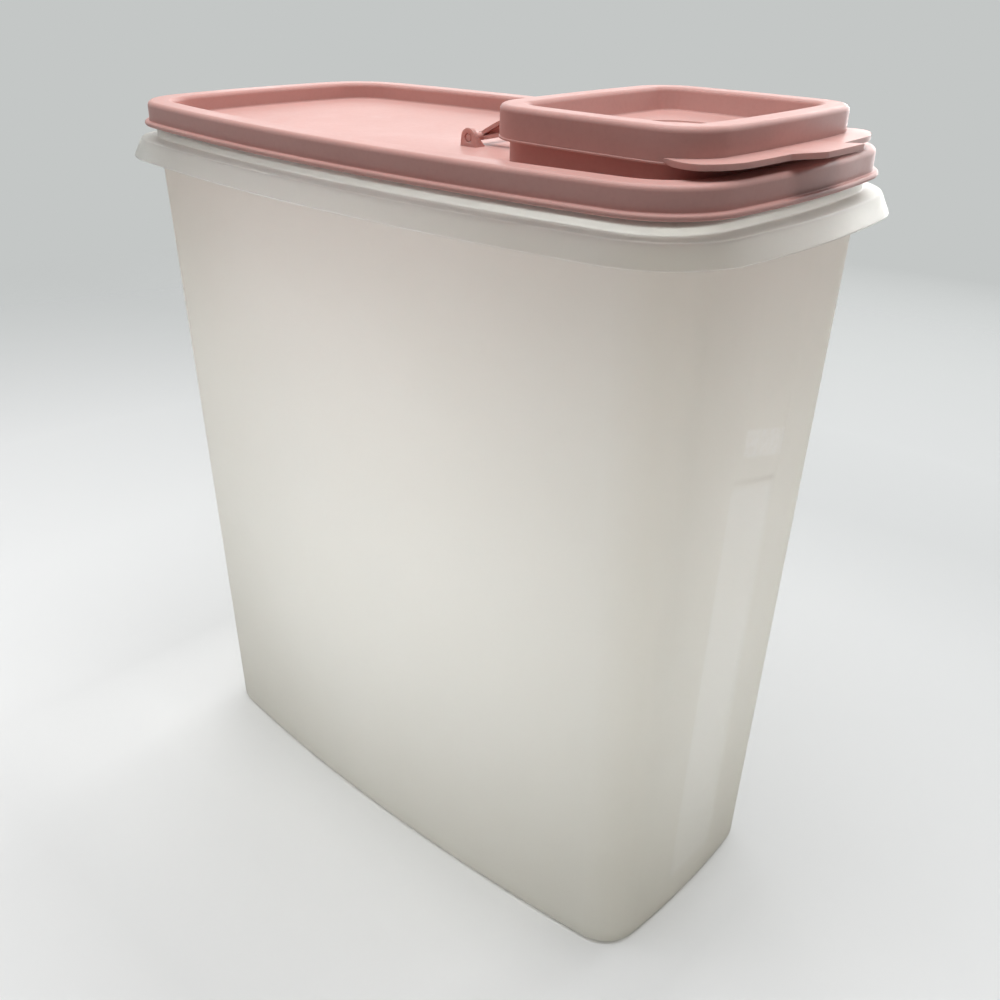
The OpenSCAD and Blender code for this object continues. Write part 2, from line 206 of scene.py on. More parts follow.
class Bench:
    """One mesh in edit mode, worked with Blender's own modelling tools.

    Every length that goes in is in millimetres.
    """

    LEVEL = 0.001
    SHARP = math.radians(40.0)
    SMOOTH = math.radians(35.0)

    def __init__(self, name: str, gap: float = 0.008) -> None:
        """Opens an empty mesh.

        Args:
            name: Name of the piece.
            gap: Corners closer than this are merged.
        """
        self.gap = gap
        if bpy.context.object and bpy.context.object.mode != "OBJECT":
            bpy.ops.object.mode_set(mode="OBJECT")
        bpy.ops.object.select_all(action="DESELECT")
        bpy.ops.mesh.primitive_plane_add(size=MM)
        self.piece = bpy.context.object
        self.piece.name = self.piece.data.name = name
        bpy.ops.object.mode_set(mode="EDIT")
        self.select("SELECT")
        bpy.ops.mesh.delete(type="VERT")

    def select(self, action: str, kind: str = "VERT") -> None:
        """Works on corners, edges or faces and selects or deselects them all."""
        bpy.ops.mesh.select_mode(type=kind)
        bpy.ops.mesh.select_all(action=action)

    def chain(self, spots: Iterable[Sequence[float]]) -> None:
        """Draws a run of edges through spots and leaves it selected."""
        self.select("DESELECT")
        points = [Vector(spot) * MM for spot in spots]
        bpy.ops.mesh.primitive_plane_add(size=MM, location=points[0])
        bpy.ops.mesh.merge(type="CENTER")
        for here, there in zip(points, points[1:]):
            bpy.ops.mesh.extrude_vertices_move(
                TRANSFORM_OT_translate={"value": there - here})
        bpy.ops.mesh.select_linked()

    def _select(self, kind: str, wanted: Callable[..., bool]) -> None:
        """Selects the wanted ones among the verts, edges or faces, and only those."""
        mesh = bmesh.from_edit_mesh(self.piece.data)
        parts = getattr(mesh, kind)
        chosen = [part for part in parts if wanted(part)]
        for part in parts:
            part.select_set(False)
        for part in chosen:
            part.select_set(True)
        if kind == "verts":
            mesh.select_flush_mode()
        bmesh.update_edit_mesh(self.piece.data)

    def pick(self, rule: Callable[[Vector], bool], open_only: bool = False) -> None:
        """Selects the corners whose place in millimetres obeys a rule.

        Args:
            rule: Says whether a place is wanted.
            open_only: Leaves out corners with faces all round them.
        """
        self._select("verts", lambda vert: rule(vert.co / MM)
                     and (vert.is_boundary or not open_only))

    def pick_level(self, height: float) -> None:
        """Selects the open corners at a height."""
        self.pick(lambda place: abs(place.z - height) < self.LEVEL, open_only=True)

    def pick_edges(self, rule: Callable[[Vector, Vector], bool]) -> None:
        """Selects the open edges whose two ends obey a rule."""
        bpy.ops.mesh.select_mode(type="EDGE")
        self._select("edges", lambda edge: edge.is_boundary
                     and rule(*(vert.co / MM for vert in edge.verts)))

    def pick_faces(self, rule: Callable[[Vector, Vector], bool]) -> None:
        """Selects the faces whose middle and normal obey a rule."""
        bpy.ops.mesh.select_mode(type="FACE")
        self._select("faces",
                     lambda face: rule(face.calc_center_median() / MM, face.normal))

    def narrow(self, rule: Callable[[Vector], bool]) -> None:
        """Keeps only those selected corners that obey a rule."""
        self._select("verts", lambda vert: vert.select and rule(vert.co / MM))

    def sweep(self, section: Section, outline: Outline) -> None:
        """Draws a section at the +X end and spins it round the outline."""
        reach = outline.centre_x + outline.half_length
        self.chain([(reach + out, 0.0, up) for out, up in section.spots])
        for leg in outline.legs():
            self.spin(*leg)
        self.weld()

    def spin(self, centre: Spot, angle: float, count: int) -> None:
        """Spins what is selected about a vertical axis."""
        bpy.ops.mesh.spin(steps=count, angle=angle, axis=(0, 0, -1),
                          center=(centre[0] * MM, centre[1] * MM, 0))

    def turn(self, centre: Spot, angle: float) -> None:
        """Turns what is selected about a vertical axis, in degrees."""
        bpy.ops.transform.rotate(
            value=-math.radians(angle), orient_axis="Z",
            center_override=(centre[0] * MM, centre[1] * MM, 0))

    def ring(self, spots: Iterable[Sequence[float]]) -> None:
        """Draws a closed run of edges and leaves it selected."""
        spots = [Vector(spot) for spot in spots]
        self.chain(spots)
        self.narrow(lambda p: min((p - spots[0]).length, (p - spots[-1]).length) < 1e-3)
        bpy.ops.mesh.edge_face_add()
        bpy.ops.mesh.select_linked()

    def soften(self, width: float) -> None:
        """Rounds every sharp edge."""
        self.select("DESELECT", "EDGE")
        bpy.ops.mesh.edges_select_sharp(sharpness=self.SHARP)
        self.bevel(width)

    def move(self, x: float = 0.0, y: float = 0.0, z: float = 0.0) -> None:
        """Moves what is selected."""
        bpy.ops.transform.translate(value=(x * MM, y * MM, z * MM))

    def extrude(self, x: float = 0.0, y: float = 0.0, z: float = 0.0) -> None:
        """Extrudes what is selected along a vector."""
        bpy.ops.mesh.extrude_region_move(
            TRANSFORM_OT_translate={"value": (x * MM, y * MM, z * MM)})

    def bevel(self, width: float) -> None:
        """Rounds the selected edges."""
        bpy.ops.mesh.bevel(offset=width * MM, segments=2, affect="EDGES",
                           profile=0.5, clamp_overlap=True)

    def cut(self, spot: Sequence[float], normal: Sequence[float]) -> None:
        """Cuts the selected faces along a plane."""
        bpy.ops.mesh.bisect(plane_co=Vector(spot) * MM, plane_no=normal)

    def weld(self) -> None:
        """Merges doubles and turns every face outwards."""
        self.select("SELECT")
        bpy.ops.mesh.remove_doubles(threshold=self.gap * MM)
        bpy.ops.mesh.normals_make_consistent(inside=False)

    def done(self) -> bpy.types.Object:
        """Leaves edit mode, shades the piece and returns it."""
        self.weld()
        bpy.ops.object.mode_set(mode="OBJECT")
        bpy.ops.object.shade_smooth_by_angle(angle=self.SMOOTH)
        bpy.ops.object.modifier_add(type="WEIGHTED_NORMAL")
        self.piece.modifiers[-1].keep_sharp = True
        bpy.ops.object.modifier_apply(modifier=self.piece.modifiers[-1].name)
        return self.piece


class Nodes:
    """Short hand for wiring a node tree."""

    def __init__(self, tree: bpy.types.NodeTree) -> None:
        """Takes the tree to wire."""
        self.tree = tree

    def put(self, value: Value, into: Socket) -> None:
        """Links a socket to an input, or sets the input to a plain value."""
        if isinstance(value, Socket):
            self.tree.links.new(value, into)
        else:
            into.default_value = value

    def add(self, kind: str, inputs: dict | None = None, **props: object) -> bpy.types.Node:
        """Adds a node.

        Args:
            kind: Type of the node.
            inputs: Values or sockets for its inputs, by name or number.
            **props: Properties to set on it.

        Returns:
            The node.
        """
        node = self.tree.nodes.new(kind)
        for name, value in props.items():
            setattr(node, name, value)
        for name, value in (inputs or {}).items():
            self.put(value, node.inputs[name])
        return node

    def group(self, tree: bpy.types.NodeTree, inputs: dict | None = None) -> bpy.types.Node:
        """Places a node group."""
        return self.add("ShaderNodeGroup", inputs, node_tree=tree)

    def place(self) -> Socket:
        """Returns the place on the object, in metres."""
        return self.add("ShaderNodeTexCoord").outputs["Object"]

    def axes(self, where: Socket) -> Sequence[Socket]:
        """Splits a place into x, y and z."""
        return self.add("ShaderNodeSeparateXYZ", {0: where}).outputs

    def noise(self, where: Socket, scale: float, detail: float = 2.0,
              rough: float = 0.5) -> Socket:
        """Adds a noise texture and returns its value."""
        return self.add("ShaderNodeTexNoise", {
            "Vector": where, "Scale": scale, "Detail": detail, "Roughness": rough,
        }).outputs["Fac"]

    def map(self, value: Value, low: float, high: float, to_low: float = 0.0,
            to_high: float = 1.0) -> Socket:
        """Maps a value from one range to another, clamped."""
        return self.add("ShaderNodeMapRange", {
            "Value": value, "From Min": low, "From Max": high,
            "To Min": to_low, "To Max": to_high,
        }).outputs["Result"]

    def math(self, how: str, *values: Value) -> Socket:
        """Works through the values with Math nodes and returns the result."""
        return functools.reduce(
            lambda a, b: self.add("ShaderNodeMath", {0: a, 1: b}, operation=how).outputs[0],
            values)

    def plus(self, *values: Value) -> Socket:
        """Adds values up."""
        return self.math("ADD", *values)

    def minus(self, value: Value, less: Value) -> Socket:
        """Takes one value from another."""
        return self.math("SUBTRACT", value, less)

    def times(self, *values: Value) -> Socket:
        """Multiplies values."""
        return self.math("MULTIPLY", *values)

    def mix(self, share: Value, a: Value, b: Value, how: str = "MIX") -> Socket:
        """Mixes two colours and returns the result."""
        return self.add("ShaderNodeMix", {0: share, 6: a, 7: b}, data_type="RGBA",
                        blend_type=how).outputs[2]


class Effects:
    """Shader node groups that the plastics share, each made once.

    Noise scales are in waves per metre and lengths in metres. Each set of scratches has
    a turn and a stretch. The line and the spot are measured up from the strip's sloping
    upper edge.
    """

    FINE, SPECKS, MID = 2600.0, 900.0, 420.0
    RUBS, STREAKS, SLOW, DRIFT, CLOUDS = 35.0, 34.0, 28.0, 22.0, 14.0
    SCRATCHES = ((0.5, (18.0, 900.0, 900.0)), (2.1, (700.0, 14.0, 700.0)))
    STRIP_SLOPE = 0.26
    LINE_UP = (-0.8 * MM, 2.0 * MM)
    SPOT_UP = (7.5 * MM, 16.5 * MM)
    SPOT_ACROSS = (-9.5 * MM, 13.5 * MM)

    @staticmethod
    def _group(name: str, takes: Sequence[str], gives: Sequence[str],
               kind: str = "NodeSocketFloat") -> tuple[Nodes, list[Socket], list[Socket]]:
        """Opens a node group.

        Args:
            name: Name of the group.
            takes: Names of its inputs.
            gives: Names of its outputs.
            kind: Type of its sockets.

        Returns:
            The group's nodes, and the sockets of its inputs and outputs in order.
        """
        tree = bpy.data.node_groups.new(name, "ShaderNodeTree")
        for labels, in_out in ((takes, "INPUT"), (gives, "OUTPUT")):
            for label in labels:
                tree.interface.new_socket(label, in_out=in_out, socket_type=kind)
        nodes = Nodes(tree)
        return (nodes, nodes.add("NodeGroupInput").outputs[:len(takes)],
                nodes.add("NodeGroupOutput").inputs[:len(gives)])

    @classmethod
    @functools.cache
    def moulded_grain(cls) -> bpy.types.NodeTree:
        """Returns the group for the fine skin of a moulded part."""
        nodes, _, (height, gloss) = cls._group("moulded_grain", (), ("Height", "Gloss"))
        where = nodes.place()
        fine = nodes.noise(where, cls.FINE, 2.0, 0.6)
        mid = nodes.noise(where, cls.MID, 3.0, 0.55)
        slow = nodes.noise(where, cls.SLOW)
        nodes.put(nodes.plus(nodes.times(fine, 0.35), nodes.times(mid, 0.3),
                             nodes.times(slow, 1.6)), height)
        nodes.put(nodes.plus(nodes.map(mid, 0.3, 0.7, -0.03, 0.03),
                             nodes.map(slow, 0.3, 0.7, -0.05, 0.05)), gloss)
        return nodes.tree

    @classmethod
    @functools.cache
    def handling_marks(cls) -> bpy.types.NodeTree:
        """Returns the group for hairline scratches and rubbed spots."""
        nodes, _, (scratch, rub) = cls._group("handling_marks", (), ("Scratch", "Rub"))
        where = nodes.place()
        marks = []
        for turn, stretch in cls.SCRATCHES:
            turned = nodes.add("ShaderNodeMapping", {
                "Vector": where, "Rotation": (0.3, 0.2, turn), "Scale": stretch,
            }).outputs["Vector"]
            marks.append(nodes.map(nodes.noise(turned, 1.0, 1.0), 0.71, 0.78))
        rubbed = nodes.map(nodes.noise(where, cls.RUBS), 0.5, 0.68)
        nodes.put(nodes.times(nodes.math("MAXIMUM", *marks), rubbed), scratch)
        nodes.put(rubbed, rub)
        return nodes.tree

    @classmethod
    @functools.cache
    def painted_wall_glow(cls) -> bpy.types.NodeTree:
        """Returns how far a spot lies from its wall's middle: painted glow there, painted
        shade at the edges.
        """
        nodes, (length, width, middle), (depth,) = cls._group(
            "painted_wall_glow", ("Half Length", "Half Width", "Middle Height"), ("Depth",))
        where = nodes.place()
        x, y, z = nodes.axes(where)
        across = nodes.times(nodes.math("DIVIDE", x, length),
                             nodes.math("DIVIDE", y, width))
        upward = nodes.math("DIVIDE", nodes.minus(z, middle), middle)
        clouds = nodes.map(nodes.noise(where, cls.CLOUDS, 3.0), 0.3, 0.7, -0.12, 0.12)
        away = nodes.plus(nodes.times(across, across), nodes.times(upward, upward), clouds)
        nodes.put(nodes.map(away, 0.05, 1.1), depth)
        return nodes.tree

    @classmethod
    @functools.cache
    def end_wall_shade_and_patch(cls) -> bpy.types.NodeTree:
        """Returns the group for painted shade on the end walls and their strip, and a pale
        patch above it.

        The first output is high where painted shade darkens an end wall beside the strip,
        the second in the pale patch and the third along the strip's upper edge, a painted
        shade line.
        """
        nodes, (half, bottom, top, reach), (beside, spot, line) = cls._group(
            "end_wall_shade_and_patch", ("Strip Half", "Strip Bottom", "Strip Top", "Wall Reach"),
            ("End Shade", "Spot", "Line"))
        where = nodes.place()
        x, y, z = nodes.axes(where)

        def inside(low: Value, high: Value, soft: float) -> Socket:
            """Returns a mask of where both values are above 0, with a soft edge."""
            return nodes.math("MINIMUM", nodes.map(low, 0.0, soft),
                              nodes.map(high, 0.0, soft))

        def band(value: Value, limits: Spot, soft: float) -> Socket:
            """Returns a mask of where a value lies between two limits."""
            low, high = limits
            return inside(nodes.minus(value, low), nodes.minus(high, value), soft)

        wide = nodes.math("ABSOLUTE", y, 0.0)
        at_end = nodes.map(nodes.minus(nodes.math("ABSOLUTE", x, 0.0), reach),
                           -6 * MM, 5 * MM)
        past = nodes.plus(nodes.minus(z, top), nodes.times(y, cls.STRIP_SLOPE))
        across = nodes.map(nodes.minus(half, wide), 0.0, 1.8 * MM)
        strip = nodes.times(
            across, inside(nodes.minus(z, bottom), nodes.times(past, -1.0), 2.5 * MM),
            nodes.map(nodes.noise(where, cls.STREAKS), 0.3, 0.7, 0.7, 1.0))
        # Painted shade on the end walls, beside the strip.
        nodes.put(nodes.times(nodes.minus(1.0, strip), at_end), beside)
        # A pale patch above the strip on the +X end wall.
        nodes.put(nodes.times(
            band(past, cls.SPOT_UP, 1.0 * MM), band(y, cls.SPOT_ACROSS, 0.8 * MM),
            nodes.map(nodes.noise(where, cls.MID, 3.0, 0.6), 0.42, 0.62, 0.4, 1.0),
            nodes.math("GREATER_THAN", x, 0.0)), spot)
        # Painted shade: a dark line along the strip's upper edge stands for the shade of
        # its step.
        nodes.put(nodes.times(
            across, band(past, cls.LINE_UP, 1.4 * MM),
            nodes.map(y, -9 * MM, 6 * MM, 0.45, 1.0), at_end), line)
        return nodes.tree

    @classmethod
    @functools.cache
    def colour_drift(cls) -> bpy.types.NodeTree:
        """Returns the group that drifts slowly between two tones."""
        nodes, (tone, other), (colour,) = cls._group(
            "colour_drift", ("Tone", "Other Tone"), ("Color",), "NodeSocketColor")
        where = nodes.place()
        slow = nodes.map(nodes.noise(where, cls.DRIFT, 4.0, 0.55), 0.35, 0.65)
        specks = nodes.map(nodes.noise(where, cls.SPECKS, 1.0), 0.45, 0.75, 0.0, 0.35)
        share = nodes.plus(nodes.times(slow, 0.65), specks)
        nodes.put(nodes.mix(share, tone, other), colour)
        return nodes.tree


def linear(*display: int) -> Colour:
    """Turns a display colour of 0 to 255 into Blender's linear one."""
    shares = (value / 255.0 for value in display)
    return (*(share / 12.92 if share <= 0.04045 else ((share + 0.055) / 1.055) ** 2.4
              for share in shares), 1.0)


@dataclass(frozen=True)
class Plastic:
    """An opaque moulded plastic."""

    name: str
    tone: Colour
    other_tone: Colour
    roughness: float = 0.42
    ior: float = 1.46
    shine: float = 0.2
    bump: float = 0.05
    bump_height: float = 0.0006
    rub_gloss: float = -0.06
    scratch_depth: float = 0.25
    subsurface: float = 0.12
    bleed: tuple[float, float, float] = (1.0, 0.45, 0.35)
    bleed_reach: float = 0.004

    def material(self) -> bpy.types.Material:
        """Returns the material, made on first use."""
        if self.name in bpy.data.materials:
            return bpy.data.materials[self.name]
        stuff = bpy.data.materials.new(self.name)
        stuff.use_nodes = True
        nodes = Nodes(stuff.node_tree)
        shader = stuff.node_tree.nodes["Principled BSDF"]
        self.wire(nodes, shader)
        return stuff

    def wire(self, nodes: Nodes, shader: bpy.types.Node) -> Socket:
        """Wires the shader's colour, roughness and normal, and returns the colour."""
        colour = nodes.group(Effects.colour_drift(), {
            "Tone": self.tone, "Other Tone": self.other_tone}).outputs["Color"]
        grain = nodes.group(Effects.moulded_grain()).outputs
        marks = nodes.group(Effects.handling_marks()).outputs
        rubbed = nodes.times(marks["Rub"], self.rub_gloss)
        height = nodes.minus(grain["Height"],
                             nodes.times(marks["Scratch"], self.scratch_depth))
        bump = nodes.add("ShaderNodeBump", {
            "Strength": self.bump, "Distance": self.bump_height, "Height": height})
        for name, value in {
            "Base Color": colour,
            "Roughness": nodes.plus(grain["Gloss"], rubbed, self.roughness),
            "Normal": bump.outputs["Normal"],
            "IOR": self.ior,
            "Specular IOR Level": self.shine,
            "Subsurface Weight": self.subsurface,
            "Subsurface Radius": self.bleed,
            "Subsurface Scale": self.bleed_reach,
        }.items():
            nodes.put(value, shader.inputs[name])
        return colour


@dataclass(frozen=True)
class MilkyPlastic(Plastic):
    """A translucent moulded plastic with painted light: a glow in each wall's middle, shade
    at its edges.
    """

    subsurface: float = 0.0
    # Painted shade: the darker tone towards a wall's edges, top and bottom, round the
    # painted glow in its middle.
    edge_shade_tone: Colour = (0.872, 0.864, 0.836, 1.0)
    # Painted shade on the end walls, beside their strip.
    end_shade_tone: Colour = (0.96, 0.955, 0.94, 1.0)
    # The tone of the pale patch above the strip on the +X end wall.
    patch_tone: Colour = (1.0, 1.0, 0.99, 1.0)
    # Painted shade along the strip's upper step.
    step_shade_tone: Colour = (0.85, 0.84, 0.81, 1.0)
    half_length: float = 0.107
    half_width: float = 0.053
    middle_height: float = 0.133
    wall_reach: float = 0.096
    clearness: float = 0.8
    glow: float = 0.6

    def wire(self, nodes: Nodes, shader: bpy.types.Node) -> Socket:
        """Wires the shader as the opaque plastic does, and lets light through."""
        colour = super().wire(nodes, shader)
        # Painted light: how far a spot lies from its wall's middle, where the painted glow
        # fades to painted shade.
        depth = nodes.group(Effects.painted_wall_glow(), {
            "Half Length": self.half_length, "Half Width": self.half_width,
            "Middle Height": self.middle_height}).outputs["Depth"]
        marks = nodes.group(Effects.end_wall_shade_and_patch(), {
            "Strip Half": Container.strip_half * MM,
            "Strip Bottom": Container.strip_bottom * MM,
            "Strip Top": Container.strip_top * MM, "Wall Reach": self.wall_reach}).outputs
        # Painted shade darkens the end walls beside the strip, and a painted shade line
        # marks its upper step.
        end_shade = nodes.mix(marks["End Shade"], (1.0, 1.0, 1.0, 1.0), self.end_shade_tone)
        # Painted shade towards the edges, top and bottom of each wall, round a painted glow
        # in its middle.
        colour = nodes.mix(depth, colour, self.edge_shade_tone)
        colour = nodes.mix(1.0, colour, end_shade, "MULTIPLY")
        # The pale patch above the strip on the +X end wall.
        colour = nodes.mix(marks["Spot"], colour, self.patch_tone)
        colour = nodes.mix(marks["Line"], colour, self.step_shade_tone)
        nodes.put(colour, shader.inputs["Base Color"])
        shader.inputs["Transmission Weight"].default_value = self.clearness
        through = nodes.add("ShaderNodeBsdfTranslucent", {"Color": colour})
        both = nodes.add("ShaderNodeMixShader", {
            0: self.glow, 1: shader.outputs[0], 2: through.outputs[0]})
        nodes.put(both.outputs[0], nodes.tree.nodes["Material Output"].inputs["Surface"])
        return colour


PINK = Plastic("pink_moulded_plastic", linear(210, 164, 157), linear(203, 156, 149))
MILK = MilkyPlastic("milky_moulded_plastic", (0.985, 0.984, 0.971, 1.0),
                    (0.978, 0.975, 0.957, 1.0), roughness=0.46)
THIN_MILK = replace(MILK, name="thin_milky_plastic", roughness=0.44, clearness=0.95,
                    glow=0.12)


def dress(piece: bpy.types.Object, finishes: Sequence[Plastic], body: Body, slot: Slot,
          *nodes: str) -> None:
    """Gives a finished piece its material and its place in the frame.

    Args:
        piece: The finished piece.
        finishes: Its plastics, in the order of its material slots.
        body: The body it moves with.
        slot: The record's slot of its finish; not used.
        *nodes: The nodes of the frame it stands for.
    """
    for finish in finishes:
        piece.data.materials.append(finish.material())
    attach(piece, body.value)
    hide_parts(*nodes)
    LOG.info("made %s: %d faces", piece.name, len(piece.data.polygons))


MOUTH = Outline(110.0, 58.4, 20.9, 606.0, 286.0)
NECK = Outline(30.9, 37.9, 10.8, 430.0, 430.0, centre_x=71.2)


@dataclass(frozen=True)
class Container:
    """The tall tapering vessel with its collar and hanging skirt."""

    height: float = 239.8
    end_draft: float = 6.3
    side_draft: float = 11.1
    foot_corner: float = 13.6
    foot_long_bow: float = 774.0
    foot_end_bow: float = 310.0
    foot_fillet: float = 2.2
    wall: float = 1.4
    base: float = 1.8
    lip: float = 1.8
    lip_round: float = 0.6
    shoulder: float = 231.1
    shoulder_depth: float = 1.7
    shoulder_fillet: float = 0.9
    shoulder_step: float = 0.6
    shoulder_reach: float = 5.5
    skirt_flare: float = 2.4
    skirt_height: float = 6.2
    skirt_round: float = 0.45
    strip_half: float = 12.7
    strip_bottom: float = 12.0
    strip_top: float = 157.0
    strip_depth: float = 0.5
    strip_slope: float = 1.6

    def foot(self) -> Outline:
        """Returns the outline of the foot."""
        top = MOUTH.grown(-self.shoulder_step)
        return Outline(top.half_length - self.end_draft, top.half_width - self.side_draft,
                       self.foot_corner, self.foot_long_bow, self.foot_end_bow)

    def wall_top(self) -> float:
        """Returns the height at which the walls meet the shoulder's fillet."""
        return self.shoulder - self.shoulder_depth - self.shoulder_fillet

    def collar(self) -> Section:
        """Returns the section of the shoulder, the skirt and the lip."""
        top, start, fillet = self.shoulder, self.wall_top(), self.shoulder_fillet
        under = top - self.shoulder_depth - 0.6
        out, tip = self.shoulder_reach, self.shoulder_reach + self.skirt_flare
        soft, rounded = self.skirt_round, self.lip_round
        low, crest = top - self.skirt_height + soft, self.height - rounded
        return (
            Section((-self.shoulder_step, start))
            .turn((fillet - self.shoulder_step, start), fillet, 180, 90, 3)
            .turn((out - self.wall - 0.6, under), 0.6, 90, 30, 3)
            .turn((tip - self.wall + soft, low), soft, 195, 270, 3)
            .turn((tip - soft, low), soft, -90, 15, 4)
            .turn((out - 0.7, top - 1.0), 0.7, 20, 90, 4)
            .turn((0.5, top + 0.45), 0.5, 265, 180, 4)
            .turn((-rounded, crest), rounded, 0, 90, 5)
            .turn((-self.lip + rounded, crest), rounded, 90, 180, 5)
            .to((-self.lip, top), (-self.shoulder_step - self.wall, start))
        )

    def model(self) -> bpy.types.Object:
        """Models the vessel and returns it."""
        bench = Bench("container_shell")
        foot, fillet, top = self.foot(), self.foot_fillet, self.wall_top()
        inner = fillet - self.wall
        floor = self.base + inner
        bench.sweep(self.collar(), MOUTH)
        bench.sweep(Section().turn((-fillet, fillet), fillet, -90, 0), foot)
        bench.sweep(Section().turn((-fillet, floor), inner, 0, -90, 4), foot)
        for low, inset in ((fillet, 0.0), (floor, -self.wall)):
            self._bridge(bench, lambda p: self._on(foot, p, low, inset)
                         or self._on(MOUTH, p, top, inset - self.shoulder_step))
        for height in (0.0, self.base):
            bench.pick_level(height)
            bpy.ops.mesh.edge_face_add()
        bench.pick(lambda p: min(abs(p.x), abs(p.y)) < 0.01, open_only=True)
        bpy.ops.mesh.edge_split(type="VERT")
        bench.weld()
        for side in (1, -1):
            self._sink_strip(bench, side)
        piece = bench.done()
        low = (self.shoulder - self.skirt_height - 0.1) * MM
        for face in piece.data.polygons:
            heights = [piece.data.vertices[i].co.z for i in face.vertices]
            face.material_index = int(min(heights) > low)
        return piece

    @staticmethod
    def _on(outline: Outline, place: Vector, height: float, offset: float) -> bool:
        """Says whether a place lies at a height and an offset from an outline."""
        return abs(place.z - height) < 0.002 and abs(outline.past(place) - offset) < 0.2

    @staticmethod
    def _bridge(bench: Bench, rule: Callable[[Vector], bool]) -> None:
        """Bridges the two open loops that obey a rule, one quadrant at a time."""
        for x, y in ((1, 1), (-1, 1), (-1, -1), (1, -1)):
            bench.pick_edges(
                lambda a, b: abs(a.z - b.z) < 0.01 and rule(a) and rule(b)
                and min(x * a.x, x * b.x, y * a.y, y * b.y) > -0.01)
            bpy.ops.mesh.bridge_edge_loops()
            bpy.ops.mesh.select_mode(type="VERT")

    def _sink_strip(self, bench: Bench, side: int) -> None:
        """Sinks the flat strip into one end wall."""
        reach, low, high = self.foot().half_length, self.strip_bottom, self.strip_top

        def on_wall(middle: Vector, normal: Vector) -> bool:
            """Says whether a face lies on the outside of the end wall."""
            return (side * normal.x > 0.9 and side * middle.x > reach - 1.5
                    and self.foot_fillet < middle.z < self.wall_top()
                    and abs(normal.z) < 0.2)

        for spot, normal in (((0, 0, low), (0, 0, 1)), ((0, 0, high), (0, 0, 1)),
                             ((0, self.strip_half, 0), (0, 1, 0)),
                             ((0, -self.strip_half, 0), (0, 1, 0))):
            bench.pick_faces(on_wall)
            bench.cut(spot, normal)
        bench.pick_faces(lambda middle, normal: on_wall(middle, normal)
                         and low < middle.z < high and abs(middle.y) < self.strip_half)
        bpy.ops.mesh.inset(thickness=self.strip_slope * MM, depth=0)
        bench.move(x=-side * self.strip_depth)
        bpy.ops.mesh.select_mode(type="VERT")


@dataclass(frozen=True)
class Lid:
    """The press-on lid: a rounded rim, a sunk panel and the spout's neck."""

    top: float = 242.2
    ceiling: float = 240.1
    rim_bottom: float = 234.7
    panel: float = 236.6
    panel_under: float = 234.8
    leg_bottom: float = 232.4
    face: float = 2.0
    fit: float = 0.4
    rim_inner: float = -6.0
    leg_face: float = -4.4
    plug_face: float = -2.15
    fillet: float = 0.6
    outer_round: float = 1.5
    inner_round: float = 1.5
    soft: float = 0.3
    bead: float = 1.5
    bead_round: float = 0.7
    neck_top: float = 250.9
    neck_wall: float = 1.8
    neck_round: float = 0.5

    def rim(self) -> Section:
        """Returns the section from the panel over the rim to the underside."""
        outer, inner, soft, bead = (self.outer_round, self.inner_round, self.soft,
                                    self.bead_round)
        low, bead_top = self.rim_bottom, self.rim_bottom + self.bead
        bead_mid = self.face + self.bead - bead
        return (
            Section()
            .turn((self.rim_inner - self.fillet, self.panel + self.fillet),
                  self.fillet, -90, 0, 4)
            .turn((self.rim_inner + inner, self.top - inner), inner, 180, 90, 8)
            .turn((self.face - outer, self.top - outer), outer, 90, 0, 8)
            .turn((self.face + soft, bead_top + 0.25), soft, 180, 255, 3)
            .turn((bead_mid, bead_top - bead), bead, 85, 0, 5)
            .turn((bead_mid, low + bead), bead, 0, -90, 5)
            .turn((self.fit + 0.25, low + 0.25), 0.25, 270, 180, 2)
            .turn((self.fit - soft, self.ceiling - soft), soft, 0, 90, 2)
            .turn((self.leg_face + soft, self.ceiling - soft), soft, 90, 180, 2)
            .to((self.leg_face, self.leg_bottom + 2.4),
                (self.plug_face, self.leg_bottom + 1.2))
            .turn((self.plug_face - soft, self.leg_bottom + soft), soft, 0, -90, 3)
            .to((self.plug_face - 1.6, self.leg_bottom), (self.rim_inner, self.panel_under))
        )

    def spout(self) -> Section:
        """Returns the section of the neck, from inside to the panel's top."""
        soft = self.neck_round
        return (
            Section((-self.neck_wall, self.panel_under))
            .turn((-self.neck_wall + soft, self.neck_top - soft), soft, 180, 90, 4)
            .turn((-soft, self.neck_top - soft), soft, 90, 0, 4)
            .turn((self.fillet, self.panel + self.fillet), self.fillet, 180, 270, 4)
        )

    def model(self) -> bpy.types.Object:
        """Models the lid and returns it."""
        bench = Bench("lid_shell")
        bench.sweep(self.rim(), MOUTH)
        bench.sweep(self.spout(), NECK)
        for height in (self.panel, self.panel_under):
            bench.pick_level(height)
            bpy.ops.mesh.fill(use_beauty=False)
        return bench.done()


